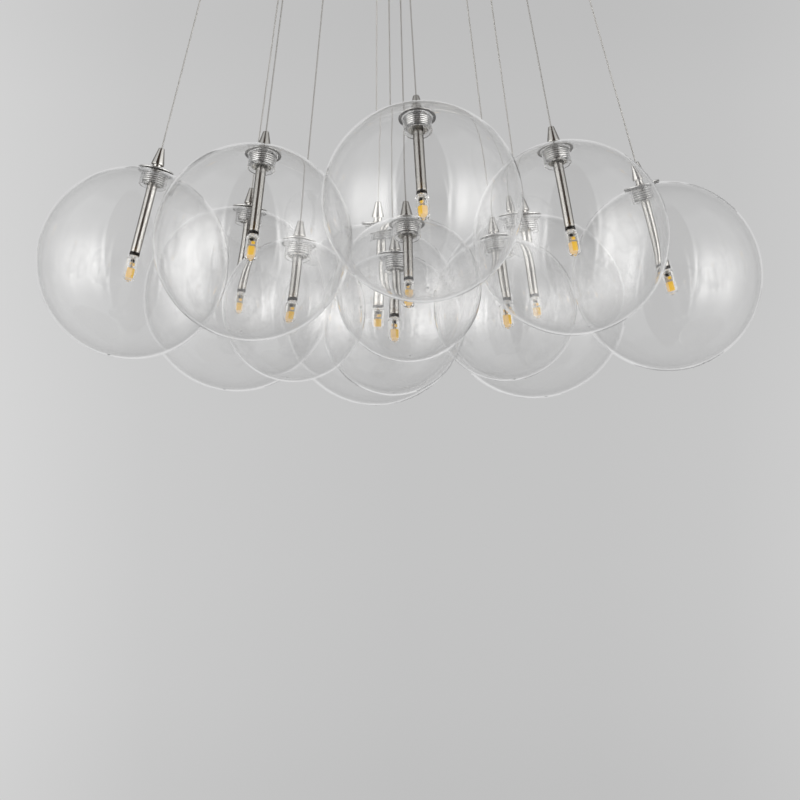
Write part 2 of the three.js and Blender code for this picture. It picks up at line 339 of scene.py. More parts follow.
@dataclass(frozen=True)
class Grained(Finish):
    """Moulded plastic or rubber, or rolled and plated steel: soft patches over a fine grain."""

    colour: Colour = (0.8, 0.8, 0.78)
    roughness: float = 0.42
    grain_height: float = 0.00003
    grains_per_metre: float = 2400.0
    grain_stretch: Corner = (1.0, 1.0, 1.0)
    patch_level: float = 0.88
    patch_roughness: float = 0.12
    patches_per_metre: float = 40.0
    patch_stretch: Corner = (1.0, 0.3, 1.0)
    patch_detail: float = 2.0
    metallic: float = 0.0

    def paint(self, graph: Graph) -> None:
        """Adds the nodes of a grained surface with faint patches."""
        grain = graph.noise(graph.place(self.grain_stretch), self.grains_per_metre)
        patch = graph.noise(graph.place(self.patch_stretch), self.patches_per_metre, self.patch_detail)
        graph.surface(
            {
                "Base Color": graph.mix(patch, self.colour, shaded(self.colour, self.patch_level)),
                "Metallic": self.metallic,
                "Roughness": self.roughness + self.patch_roughness * patch,
                "Normal": graph.bump(grain, self.grain_height),
            }
        )


@dataclass(frozen=True)
class Phosphor(Finish):
    """The lamp's yellow phosphor coat, deeper on its two wide faces and paler on its sides, a painted
    light and shade of its faces.

    Its emission is a painted glow, standing in for the daylight that its phosphor turns into yellow
    light, so it looks brighter than a plain paint would.
    """

    wide: Colour = (1.0, 0.6, 0.04)
    wide_deep: Colour = (0.95, 0.5, 0.03)
    side: Colour = (1.0, 0.7, 0.34)
    side_deep: Colour = (0.98, 0.62, 0.22)
    mottling: float = 0.45
    roughness: float = 0.55
    grain_height: float = 0.00006
    painted_glow: float = 0.42

    def paint(self, graph: Graph) -> None:
        """Adds the nodes of an unlit phosphor coat, with painted light and shade on its faces and a
        painted glow.
        """
        facing = graph.node("ShaderNodeTexCoord").outputs["Normal"]
        _, y, _ = graph.axes(Value(graph, facing))
        # Painted light and shade: the wide faces get deeper colours and the sides paler ones, by the way
        # each face points.
        face_shade_mask = graph.smooth(abs(y), start=0.45, end=0.85)
        mottle = graph.noise(graph.place(), scale=900.0)
        coat = graph.mix(face_shade_mask, self.side, self.wide)
        deep = graph.mix(face_shade_mask, self.side_deep, self.wide_deep)
        graph.surface(
            {
                "Base Color": graph.mix(self.mottling * mottle, coat, deep),
                "Roughness": self.roughness,
                # Painted glow: the coat emits light, though the lamp is off.
                "Emission Color": coat,
                "Emission Strength": self.painted_glow,
                "Normal": graph.bump(mottle, self.grain_height),
            }
        )


@dataclass(frozen=True)
class BraidedCable(Finish):
    """Tinned copper braid under a thin clear jacket, round the piece's own Z axis."""

    colour: Colour = (0.56, 0.55, 0.53)
    hollow_shade_level: float = 0.85
    metallic: float = 0.6
    roughness: float = 0.34
    coat: float = 0.3
    coat_roughness: float = 0.08
    strands: int = 6
    lay: float = 0.007
    strand_height: float = 0.000012

    def paint(self, graph: Graph) -> None:
        """Adds the nodes of a braid whose strands cross along the cable, with painted shade between the
        strands.
        """
        x, y, z = graph.axes(graph.place())
        turn = graph.math("ARCTAN2", x, y) * self.strands
        climb = z * (2 * math.pi / self.lay)
        left = graph.math("SINE", turn + climb)
        right = graph.math("SINE", turn - climb)
        strand = graph.math("MAXIMUM", left, right)
        # Painted shade: where the strands dip between each other, the braid's colour is darker.
        raised = graph.smooth(strand, start=-0.3, end=0.7)
        graph.surface(
            {
                "Base Color": graph.mix(raised, shaded(self.colour, self.hollow_shade_level), self.colour),
                "Metallic": self.metallic,
                "Roughness": self.roughness,
                "Coat Weight": self.coat,
                "Coat Roughness": self.coat_roughness,
                "Normal": graph.bump(strand, self.strand_height),
            }
        )


GLASS = ClearBody("clear_blown_glass")
POLISHED_NICKEL = TurnedMetal("polished_nickel_plate")
BRIGHT_NICKEL = TurnedMetal(
    "bright_nickel_plate",
    (0.9, 0.895, 0.88),
    0.27,
    (0.9, 0.9, 0.9),
    ring_height=0.0,
    smear=0.0,
    # root puts a ring of painted shade at the skirt's thread root.
    root=0.0114,
)
SATIN_NICKEL = TurnedMetal(
    "satin_nickel_plate",
    (0.8, 0.79, 0.77),
    0.32,
    (0.9, 0.9, 0.9),
    ring_height=0.000008,
    rings_per_metre=1400.0,
    wear=0.12,
)
TINNED_METAL = TurnedMetal(
    "tinned_solder", (0.8, 0.79, 0.77), 0.18, (1.0, 1.0, 1.0), ring_height=0.0, smear=0.0
)
BRASS = TurnedMetal("brass_screw", (0.7, 0.55, 0.3), 0.25, (0.9, 0.8, 0.6), smear=0.0)
WASHER_DARK = Grained("dark_washer_rubber", (0.11, 0.102, 0.094), 0.55)
SOCKET_BLACK = Grained("black_socket_moulding", (0.018, 0.016, 0.015), 0.38)
CHIP_BLACK = Grained("black_chip_moulding", (0.022, 0.02, 0.02), 0.5)
BOARD_WHITE = Grained("white_board", (0.66, 0.65, 0.61), 0.5)
CASE_WHITE = Grained("white_case_moulding", (0.8, 0.8, 0.775), 0.48, grain_height=0.00006)
ZINC = Grained(
    "bright_zinc_plate",
    (0.62, 0.64, 0.66),
    0.3,
    grain_height=0.00002,
    grains_per_metre=110.0,
    grain_stretch=(1.0, 14.0, 1.0),
    patch_level=1.18,
    patch_roughness=0.25,
    patches_per_metre=60.0,
    patch_stretch=(1.0, 1.0, 1.0),
    patch_detail=4.0,
    metallic=1.0,
)
RESIN = ClearBody("clear_silicone", (0.99, 0.985, 0.97), 1.41, 0.015, 0.00004, 260.0, (1.0, 1.0, 1.0))
PHOSPHOR = Phosphor("yellow_phosphor")
BRAID = BraidedCable("braid_in_clear_jacket")


def rounded(corners: list[Corner], steps: int = 4) -> list[Point]:
    """Rounds the corners of an outline.

    Args:
        corners: Each corner's radius and height, and how far from it its rounding starts.
        steps: Points in each rounding.

    Returns:
        The outline's points.
    """
    points: list[Point] = []
    for i, (x, z, cut) in enumerate(corners):
        here = Vector((x, z))
        if not cut:
            points.append((x, z))
            continue
        before = Vector(corners[i - 1][:2]) - here
        after = Vector(corners[i + 1][:2]) - here
        start = here + before.normalized() * cut
        end = here + after.normalized() * cut
        for k in range(steps + 1):
            t = k / steps
            spot = (1 - t) ** 2 * start + 2 * t * (1 - t) * here + t * t * end
            points.append((spot.x, spot.y))
    return points


def arc(radius: float, start: float, end: float, steps: int) -> list[Point]:
    """Points of an outline on a circle about the origin, by angle from the +Z axis."""
    angles = [start + (end - start) * k / steps for k in range(steps + 1)]
    return [(radius * math.sin(a), radius * math.cos(a)) for a in angles]


def turned_rings(
    outline: list[Point], segments: int, ripple: Ripple | None = None
) -> list[list[Vector]]:
    """Turns an outline round the Z axis.

    Args:
        outline: Radius and height of each point.
        segments: Points in each ring.
        ripple: Adds to the radius by angle and height, as a thread does.

    Returns:
        A ring of points for each point of the outline. A point on the axis gives a ring of one.
    """
    rings = []
    for radius, height in outline:
        if radius <= 0:
            rings.append([Vector((0, 0, height))])
            continue
        ring = []
        for k in range(segments):
            angle = 2 * math.pi * k / segments
            reach = radius + (ripple(angle, height) if ripple else 0.0)
            ring.append(Vector((reach * math.cos(angle), reach * math.sin(angle), height)))
        rings.append(ring)
    return rings


def skin(name: str, rings: list[list[Vector]], loop: bool = False) -> bpy.types.Mesh:
    """Makes a mesh over rings of points.

    Args:
        name: The mesh's name.
        rings: The rings in order, each with as many points, or with one where it is a pole.
        loop: Joins the last ring to the first.

    Returns:
        A smooth mesh whose edges are sharp where its faces turn quickly.
    """
    points = [p for ring in rings for p in ring]
    starts = [sum(len(ring) for ring in rings[:i]) for i in range(len(rings))]
    faces = []
    pairs = list(zip(range(len(rings) - 1), range(1, len(rings))))
    if loop:
        pairs.append((len(rings) - 1, 0))
    for a, b in pairs:
        count = max(len(rings[a]), len(rings[b]))
        for k in range(count):
            n = (k + 1) % count
            if len(rings[a]) == 1:
                faces.append((starts[a], starts[b] + n, starts[b] + k))
            elif len(rings[b]) == 1:
                faces.append((starts[a] + k, starts[a] + n, starts[b]))
            else:
                faces.append((starts[a] + k, starts[a] + n, starts[b] + n, starts[b] + k))
    mesh = bpy.data.meshes.new(name)
    mesh.from_pydata(points, [], faces)
    finish_mesh(mesh)
    return mesh


def finish_mesh(mesh: bpy.types.Mesh) -> None:
    """Points a mesh's faces outwards and smooths it, but for its sharp edges."""
    work = bmesh.new()
    work.from_mesh(mesh)
    bmesh.ops.recalc_face_normals(work, faces=work.faces)
    work.to_mesh(mesh)
    work.free()
    mesh.shade_smooth()
    mesh.set_sharp_from_angle(angle=SHARP_ANGLE)


def put(
    name: str,
    mesh: bpy.types.Mesh,
    finishes: list[Finish],
    body: str,
    stands_for: str,
    matrix: Matrix | None = None,
) -> bpy.types.Object:
    """Puts a piece in its place in the model.

    Args:
        name: The piece's name.
        mesh: Its mesh, which other pieces may share.
        finishes: The finish of each of the mesh's material slots.
        body: The moving body that it rides on.
        stands_for: The CAD node that it replaces.
        matrix: Its place, or None where the mesh is in place already.

    Returns:
        The piece.
    """
    piece = bpy.data.objects.new(name, mesh)
    bpy.context.scene.collection.objects.link(piece)
    if matrix:
        piece.matrix_world = matrix
    if not mesh.materials:
        for finish in finishes:
            mesh.materials.append(finish.material())
    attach(piece, body)
    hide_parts(stands_for)
    log.info("%s: %d faces on %s", name, len(mesh.polygons), body)
    return piece


@dataclass
class Studio:
    """The camera, the floor and the light, which aren't part of the object.

    Stops give a grey by place, from 0 to 1 along a range of directions. A bearing is how many
    degrees a direction lies to either side of the camera, and its rise how many degrees upwards.
    """

    camera_place: Vector = field(default_factory=lambda: Vector((0.0082, -5.4718, -1.5738)))
    camera_pitch: float = math.radians(10.39)
    lens: float = 240.0
    view_end: float = 100.0
    floor_level: float = -2.0
    floor_radius: float = 14.0
    floor_fade: Point = (0.4, 0.95)
    floor_rings: int = 6
    floor_segments: int = 48
    pale: Colour = (0.56, 0.56, 0.56)
    plain_light: Colour = (1.0, 1.0, 1.0)
    backdrop_half: float = 0.08
    backdrop_rise: float = 20.0
    backdrop_across: Stops = (
        (0.0, 0.68), (0.054, 0.658), (0.204, 0.597), (0.354, 0.571),
        (0.505, 0.552), (0.73, 0.552), (0.88, 0.571), (1.0, 0.61),
    )
    backdrop_upward: Stops = (
        (0.0, 0.92), (0.315, 0.95), (0.36, 0.98), (0.43, 1.0),
        (0.51, 1.0), (0.68, 0.965), (0.723, 0.93), (1.0, 0.9),
    )
    window: Colour = (3.0, 2.97, 2.925)
    windows_across: Stops = (
        (0.0, 0.0), (0.161, 0.0), (0.175, 1.0), (0.183, 1.0), (0.194, 0.3),
        (0.211, 0.3), (0.228, 0.8), (0.25, 1.0), (0.28, 1.0), (0.31, 0.68),
        (0.456, 0.66), (0.511, 0.36), (0.578, 0.1), (0.639, 0.0),
    )
    windows_upward: Stops = (
        (0.194, 0.0), (0.222, 0.03), (0.278, 0.15), (0.333, 0.42), (0.389, 0.75), (0.444, 0.95),
        (0.5, 1.0), (0.556, 0.85), (0.611, 0.5), (0.667, 0.2), (0.722, 0.05), (0.778, 0.0),
    )
    dark_wall: Colour = (0.045, 0.03, 0.022)
    dark_bearing: Point = (31.0, 29.0)
    dark_rise: Band = (-32.0, -4.0, 76.0, 89.0)
    wall: float = 0.37
    low_gain: float = 0.05
    low_rise: Point = (-6.0, -16.0)
    high_gain: float = 0.3
    high_rise: Band = (24.0, 40.0, 58.0, 70.0)
    high_bearing: Point = (112.0, 92.0)
    far_gain: float = 0.3
    far_way: Point = (0.982, 0.19)
    far_share: Point = (0.86, 0.93)
    far_low_gain: float = 0.12
    far_low_rise: Band = (-16.0, -9.0, -8.0, 0.0)
    bounces: int = 48
    clear_bounces: int = 16

    def set_camera(self) -> None:
        """Puts the camera where the photograph was taken from."""
        data = bpy.data.cameras.new("camera")
        data.lens = self.lens
        data.clip_end = self.view_end
        camera = bpy.data.objects.new("camera", data)
        camera.location = self.camera_place
        camera.rotation_euler = (math.pi / 2 + self.camera_pitch, 0, 0)
        bpy.context.scene.collection.objects.link(camera)
        bpy.context.scene.camera = camera

    def lay_floor(self) -> None:
        """Lays a plain pale floor that fades into the backdrop far out, and isn't mirrored."""
        outline = [(self.floor_radius * k / self.floor_rings, 0.0) for k in range(self.floor_rings + 1)]
        mesh = skin("floor", turned_rings(outline, self.floor_segments))
        floor = bpy.data.objects.new("floor", mesh)
        floor.location.z = self.floor_level
        bpy.context.scene.collection.objects.link(floor)
        material = bpy.data.materials.new("pale_floor")
        material.use_nodes = True
        graph = Graph(material.node_tree)
        x, y, _ = graph.axes(graph.place())
        start, end = (share * self.floor_radius for share in self.floor_fade)
        far = graph.smooth((x * x + y * y) ** 0.5, start, end)
        path = graph.node("ShaderNodeLightPath").outputs
        mirrored = Value(graph, path["Glossy Depth"]) > 0.5
        plain = graph.node("ShaderNodeBsdfDiffuse", None, {"Color": self.pale})
        clear = graph.node("ShaderNodeBsdfTransparent")
        hidden = graph.math("MAXIMUM", far, mirrored)
        inputs = {0: hidden, 1: plain.outputs[0], 2: clear.outputs[0]}
        mixed = graph.node("ShaderNodeMixShader", None, inputs)
        graph.node("ShaderNodeOutputMaterial", None, {"Surface": mixed.outputs[0]})
        mesh.materials.append(material)

    def backdrop(self, graph: Graph, x: Value, rise: Value) -> Value:
        """Returns the backdrop's grey by direction, palest at its left side.

        Args:
            graph: The world's graph.
            x: How far the direction points to the right.
            rise: Its rise.
        """
        sideways = graph.ramp((x + self.backdrop_half) / (2 * self.backdrop_half), self.backdrop_across)
        return sideways * graph.ramp(rise / self.backdrop_rise, self.backdrop_upward)

    def room(self, graph: Graph, y: Value, z: Value, bearing: Value, rise: Value) -> Value:
        """Returns the light of the room that metal and glass mirror, by direction.

        Args:
            graph: The world's graph.
            y: How far the direction points away from the camera.
            z: How far it points upwards.
            bearing: Its bearing.
            rise: Its rise.
        """
        windows = graph.ramp(bearing / 180, self.windows_across)
        windows = windows * graph.ramp((rise + 90) / 180, self.windows_upward)
        dark = graph.smooth(bearing, *self.dark_bearing) * graph.band(rise, self.dark_rise)
        low = graph.smooth(rise, *self.low_rise)
        high = graph.band(rise, self.high_rise) * graph.smooth(bearing, *self.high_bearing)
        far = graph.smooth(y * self.far_way[0] + z * self.far_way[1], *self.far_share)
        far_light = self.far_gain + self.far_low_gain * graph.band(rise, self.far_low_rise)
        wall = self.wall + self.low_gain * low + self.high_gain * high + far * far_light
        return graph.mix(windows, graph.mix(dark, wall, self.dark_wall), self.window)

    def light(self) -> None:
        """Lights the object plainly, and gives metal and glass a room with windows to mirror."""
        scene = bpy.context.scene
        scene.world = bpy.data.worlds.new("studio")
        scene.world.use_nodes = True
        graph = Graph(scene.world.node_tree)
        way = Value(graph, graph.node("ShaderNodeTexCoord").outputs["Generated"])
        x, y, z = graph.axes(way)
        bearing = abs(graph.math("ARCTAN2", x, y * -1.0)) * DEGREES
        rise = graph.math("ARCSINE", z) * DEGREES
        path = graph.node("ShaderNodeLightPath").outputs
        mirrored = Value(graph, path["Glossy Depth"]) > 0.5
        lighting = Value(graph, path["Diffuse Depth"]) > 0.5
        seen = self.room(graph, y, z, bearing, rise)
        plain = graph.mix(mirrored, self.backdrop(graph, x, rise), seen)
        lit = graph.mix(lighting, plain, self.plain_light)
        background = graph.node("ShaderNodeBackground", None, {"Color": lit})
        graph.node("ShaderNodeOutputWorld", None, {"Surface": background.outputs[0]})

    def set_render(self) -> None:
        """Plain view settings, and enough bounces for light to pass all the globes."""
        scene = bpy.context.scene
        scene.view_settings.view_transform = "Standard"
        scene.cycles.max_bounces = self.bounces
        scene.cycles.transmission_bounces = self.bounces
        scene.cycles.glossy_bounces = self.bounces
        scene.cycles.transparent_max_bounces = self.clear_bounces

    def build(self) -> None:
        """Makes everything round the object."""
        self.set_camera()
        self.lay_floor()
        self.light()
        self.set_render()


@dataclass(frozen=True)
class Thread:
    """A screw thread: its pitch, its depth, and the stretch of height that it covers."""

    pitch: float
    depth: float
    foot: float
    top: float
    fade: float = 1.6

    def heights(self, steps: int = 8) -> list[float]:
        """Heights of the rings that show the thread, from its foot up."""
        count = round(steps * (self.top - self.foot) / self.pitch)
        return [self.foot + (self.top - self.foot) * k / count for k in range(count + 1)]

    def ripple(self, angle: float, height: float) -> float:
        """Returns what the thread adds to the radius at an angle and a height."""
        if not self.foot <= height <= self.top:
            return 0.0
        ends = min(height - self.foot, self.top - height) / self.pitch
        phase = 2 * math.pi * (height / self.pitch - angle / (2 * math.pi))
        return self.depth * min(1.0, self.fade * ends) * 0.5 * (1 + math.cos(phase))


@dataclass
class Stem:
    """Grip, cap, skirt, tube and socket, one above the other. Heights are over the globe's middle."""

    size: Size
    neck_bore: float = 0.025
    seat: float = 0.0003
    play: float = 0.0004
    cap_diameter: float = 0.038
    cap_thickness: float = 0.0015
    cap_roundness: float = 0.45
    washer_width: float = 0.0034
    washer_thickness: float = 0.0006
    washer_inset: float = 0.0001
    washer_gap: float = 0.00002
    skirt_length: float = 0.015
    skirt_bore: float = 0.0196
    skirt_hollow: float = 0.0095
    skirt_chamfer: Point = (0.0003, 0.0004)
    thread_pitch: float = 0.0024
    thread_depth: float = 0.0007
    thread_foot: float = 0.0006
    thread_top: float = 0.0008
    collar_diameter: float = 0.009
    collar_height: float = 0.0055
    flange_width: float = 0.001
    flange_height: float = 0.0009
    flange_slope: float = 0.0002
    grip_height: float = 0.018
    grip_top: float = 0.006
    grip_base: float = 0.0135
    grip_brim: float = 0.0013
    cable_bore: float = 0.0019
    cable_seat: float = 0.004
    tube_diameter: float = 0.0104
    tube_inset: float = 0.001
    groove_level: float = 0.0012
    groove_width: float = 0.0002
    groove_slope: float = 0.0003
    groove_depth: float = 0.00015
    socket_diameter: float = 0.0108
    socket_height: float = 0.0035
    socket_level: float = 0.0075
    socket_bore: float = 0.0056
    socket_gap: float = 0.0002
    socket_mouth: float = 0.0005
    socket_chamfer: Point = (0.0002, 0.0003)
    segments: int = 64

    @property
    def cap_level(self) -> float:
        """Height of the cap's underside."""
        return math.sqrt((self.size.value / 2) ** 2 - (self.neck_bore / 2) ** 2) + self.seat

    @property
    def cap_top(self) -> float:
        """Height of the cap's upper face."""
        return self.cap_level + self.cap_thickness

    @property
    def tip(self) -> float:
        """Height of the cable grip's tip."""
        return self.cap_top + self.collar_height + self.grip_height

    def cap_mesh(self) -> bpy.types.Mesh:
        """Returns the disc with its threaded skirt, hollow from below, and its sealing washer."""
        rim = self.cap_diameter / 2
        skirt = self.neck_bore / 2 - self.play - self.thread_depth
        bore = self.skirt_bore / 2
        edge = self.cap_thickness * self.cap_roundness
        level = self.cap_level
        foot = level - self.skirt_length
        root = foot + self.skirt_hollow
        chamfer, rise = self.skirt_chamfer
        ends = (foot + self.thread_foot, level - self.thread_top)
        thread = Thread(self.thread_pitch, self.thread_depth, *ends)
        top = [(0, self.cap_top, 0), (rim, self.cap_top, edge), (rim, level, edge), (skirt, level, 0)]
        screw = [(skirt, height) for height in reversed(thread.heights())]
        low = [(skirt, foot + rise), (skirt - chamfer, foot), (bore, foot), (bore, root), (0, root)]
        rings = turned_rings(rounded(top), self.segments)
        rings += turned_rings(screw, self.segments, thread.ripple)
        rings += turned_rings(low, self.segments)
        outer = rim - self.washer_inset
        inner = rim - self.washer_width
        under = level - self.washer_thickness
        washer = [
            (inner, level - self.washer_gap, 0),
            (outer, level - self.washer_gap, 0),
            (outer, under, 0.0003),
            (inner, under, 0.0003),
            (inner, level - self.washer_thickness / 3, 0),
        ]
        ring = skin("washer", turned_rings(rounded(washer), self.segments), loop=True)
        return joined("cap_and_washer", [skin("cap_and_skirt", rings), ring])

    def grip_mesh(self) -> bpy.types.Mesh:
        """Returns the cone that holds the cable, on its narrow collar."""
        base = self.grip_base / 2
        tip = self.grip_top / 2
        collar = self.collar_diameter / 2
        flange = collar + self.flange_width
        hole = self.cable_bore / 2
        foot = self.cap_top
        ledge = foot + self.flange_height
        shoulder = foot + self.collar_height
        corners = [
            (0, foot, 0),
            (flange, foot, 0),
            (flange, ledge, 0.0002),
            (collar, ledge + self.flange_slope, 0.0001),
            (collar, shoulder, 0.0002),
            (base, shoulder, 0.0003),
            (base, shoulder + self.grip_brim, 0.0005),
            (tip, self.tip, 0.0006),
            (hole, self.tip, 0.0003),
            (hole, self.tip - self.cable_seat, 0),
            (0, self.tip - self.cable_seat, 0),
        ]
        return skin("cable_grip", turned_rings(rounded(corners), self.segments))

    def tube_mesh(self) -> bpy.types.Mesh:
        """Returns the tube from the cap down to the socket, with a fine groove over its foot."""
        radius = self.tube_diameter / 2
        waist = radius - self.groove_depth
        foot = self.socket_level + self.socket_height
        top = self.cap_level - self.tube_inset
        groove = foot + self.groove_level
        corners = [
            (0, top, 0),
            (radius, top, 0.0002),
            (radius, groove + self.groove_width + self.groove_slope, 0.0001),
            (waist, groove + self.groove_width, 0),
            (waist, groove, 0),
            (radius, groove - self.groove_slope, 0.0001),
            (radius, foot, 0.0002),
            (0, foot, 0),
        ]
        return skin("stem_tube", turned_rings(rounded(corners), self.segments))

    def socket_mesh(self) -> bpy.types.Mesh:
        """Returns the black ring that takes the lamp's pins."""
        outer = self.socket_diameter / 2
        bore = self.socket_bore / 2
        foot = self.socket_level
        top = foot + self.socket_height - self.socket_gap
        chamfer, drop = self.socket_chamfer
        ring = [
            (bore, top, 0),
            (outer - chamfer, top, 0),
            (outer, top - drop, 0.0001),
            (outer, foot, 0.0004),
            (bore, foot, 0.0003),
            (bore, foot + self.socket_mouth, 0),
        ]
        return skin("lamp_socket", turned_rings(rounded(ring), self.segments), loop=True)


@dataclass
class Globe:
    """A blown globe with its screw neck turned inwards."""

    size: Size
    neck_bore: float = 0.025
    neck_wall: float = 0.002
    neck_length: float = 0.017
    neck_round: float = 0.0007
    neck_flare: float = 0.003
    curl_height: float = 0.0012
    wall: float = 0.0009
    waviness: float = 0.28
    waves_per_metre: float = 17.0
    wave_stretch: float = 0.6
    even_rings: int = 8
    noise_reach: float = 50.0
    pip_radius: float = 0.0019
    pip_height: float = 0.0005
    pip_steps: int = 6
    pip_turn: float = 0.02
    lip_turn: float = 0.012
    flare_turn: float = 0.02
    lip_height: float = 0.001
    thread_pitch: float = 0.0022
    thread_depth: float = 0.00012
    thread_foot: float = 0.0015
    thread_top: float = 0.0012
    segments: int = 96
    arc_steps: int = 56
    thread_steps: int = 6

    def mesh(self, chance: random.Random) -> bpy.types.Mesh:
        """Returns one globe.

        Args:
            chance: Gives this globe its own uneven wall.
        """
        radius = self.size.value / 2
        bore = self.neck_bore / 2
        neck = bore + self.neck_wall
        inner = radius - self.wall
        crown = math.sqrt(radius**2 - bore**2)
        foot = crown - self.neck_length
        ends = (foot + self.thread_foot, crown - self.thread_top)
        thread = Thread(self.thread_pitch, self.thread_depth, *ends)
        reaches = [self.pip_radius * k / self.pip_steps for k in range(self.pip_steps + 2)]
        pip = [(reach, self._pip_level(reach, radius)) for reach in reaches]
        first = math.pi - math.asin(reaches[-1] / radius) - self.pip_turn
        outside = arc(radius, first, math.asin(bore / radius) + self.lip_turn, self.arc_steps)
        lip = [(*outside[-1], 0), (bore, crown, 0.0006), (bore, crown - self.lip_height, 0)]
        screw = [(bore, height) for height in reversed(thread.heights(self.thread_steps))]
        turn_in = math.asin((neck + self.neck_flare) / inner)
        curl = [
            (bore, foot + self.curl_height, 0),
            (bore, foot, self.neck_round),
            (neck, foot, self.neck_round),
            (neck, math.sqrt(inner**2 - neck**2), self.neck_wall),
            (inner * math.sin(turn_in), inner * math.cos(turn_in), 0),
        ]
        inside = arc(inner, turn_in + self.flare_turn, math.pi, self.arc_steps)
        inside[-1] = (0, -inner)
        hollow = turned_rings(inside, self.segments)
        self._vary_wall(hollow, chance)
        rings = turned_rings(pip + outside + rounded(lip)[1:], self.segments)
        rings += turned_rings(screw, self.segments, lambda a, z: -thread.ripple(a, z))
        rings += turned_rings(rounded(curl), self.segments)
        return skin("blown_globe", rings + hollow)

    def _pip_level(self, reach: float, radius: float) -> float:
        """Returns the outside's height near its lowest point, which has a small pip."""
        share = min(1.0, reach / self.pip_radius)
        return -math.sqrt(radius**2 - reach**2) - self.pip_height * (1 - share**2) ** 2

    def _vary_wall(self, rings: list[list[Vector]], chance: random.Random) -> None:
        """Moves the inside in and out, so that the wall is a little uneven."""
        shift = Vector([chance.uniform(-self.noise_reach, self.noise_reach) for _ in range(3)])
        for i, ring in enumerate(rings):
            depth = min(1.0, i / self.even_rings) * self.wall * self.waviness
            for point in ring:
                spot = Vector((point.x, point.y, self.wave_stretch * point.z)) * self.waves_per_metre
                point.length -= depth * noise.noise(spot + shift)


def slab_rings(half: Point, corner: float, outline: list[Point], steps: int = 4) -> list[list[Vector]]:
    """Rings of an upright slab with rounded corners, closed at both ends.

    Args:
        half: Half of its width and half of its depth.
        corner: Radius of its upright corners.
        outline: How far each ring stands in from the full width, and its height, in order.
        steps: Faces round each corner.

    Returns:
        The rings, with a ring of one point at each end.
    """
    rings = [[Vector((0, 0, outline[0][1]))]]
    for inset, height in outline:
        x = half[0] - corner
        y = half[1] - corner
        radius = max(corner - inset, LEAST_CORNER * corner)
        ring = []
        for side, (across, over) in enumerate([(x, y), (-x, y), (-x, -y), (x, -y)]):
            for k in range(steps + 1):
                angle = math.pi / 2 * (side + k / steps)
                spot = (across + radius * math.cos(angle), over + radius * math.sin(angle), height)
                ring.append(Vector(spot))
        rings.append(ring)
    rings.append([Vector((0, 0, outline[-1][1]))])
    return rings


def soft_ends(foot: float, top: float, cut: float) -> list[Point]:
    """Outline of a slab whose end edges are rounded by cut, as insets and heights."""
    k = CURVE_SHARE * cut
    return [(cut, foot), (k, foot + k), (0, foot + cut), (0, top - cut), (k, top - k), (cut, top)]


def moved(rings: list[list[Vector]], shift: Vector) -> list[list[Vector]]:
    """Returns the rings moved by a vector."""
    return [[point + shift for point in ring] for ring in rings]


def joined(name: str, parts: list[bpy.types.Mesh]) -> bpy.types.Mesh:
    """Joins meshes into one, and gives part number n the material slot n.

    Args:
        name: The new mesh's name.
        parts: The meshes, which are used up.

    Returns:
        The joined mesh.
    """
    work = bmesh.new()
    for number, part in enumerate(parts):
        known = len(work.faces)
        work.from_mesh(part)
        work.faces.ensure_lookup_table()
        for face in work.faces[known:]:
            face.material_index = number
        bpy.data.meshes.remove(part)
    mesh = bpy.data.meshes.new(name)
    work.to_mesh(mesh)
    work.free()
    return mesh


def slotted_head(radius: float, height: float, slot: float) -> list[list[Vector]]:
    """Rings of a low screw head that stands on z = 0, with a slot across it.

    Args:
        radius: Its radius.
        height: Its height.
        slot: Width of the slot, which goes half of the height down.
    """
    reaches = [radius * k / HEAD_STEPS for k in range(HEAD_STEPS + 1)]
    outline = [(reach, height * (1 - CURVE_SHARE * (reach / radius) ** 2)) for reach in reaches]
    rings = turned_rings([*outline, (radius, 0), (0, 0)], 6 * HEAD_STEPS)
    for ring in rings[:-2]:
        for point in ring:
            if abs(point.x) < slot / 2:
                point.z -= height / 2
    return rings


def middle_of(node: str) -> Vector:
    """Returns the middle of a CAD node's box as seen from above, at the ceiling's height."""
    low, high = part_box(node)
    return Vector(((low.x + high.x) / 2, (low.y + high.y) / 2, 0))


def bevelled(node: str, width: float) -> bpy.types.Mesh:
    """Returns a copy of a CAD node's mesh, in its place, with its edges rounded.

    Args:
        node: The CAD node's name.
        width: How far from each sharp edge its rounding starts.
    """
    source = frame["nodes"][node]
    work = bmesh.new()
    work.from_mesh(source.data)
    work.transform(source.matrix_world)
    bmesh.ops.remove_doubles(work, verts=work.verts, dist=SAME_PLACE)
    bmesh.ops.dissolve_limit(work, angle_limit=FLAT_ANGLE, verts=work.verts, edges=work.edges)
    edges = [edge for edge in work.edges if len(edge.link_faces) == 2]
    sharp = [edge for edge in edges if edge.calc_face_angle() > BEVEL_ANGLE]
    bmesh.ops.bevel(
        work, geom=sharp, offset=width, segments=2, profile=0.5, affect="EDGES", clamp_overlap=True
    )
    mesh = bpy.data.meshes.new(f"bevelled_{node}")
    work.to_mesh(mesh)
    work.free()
    finish_mesh(mesh)
    return mesh


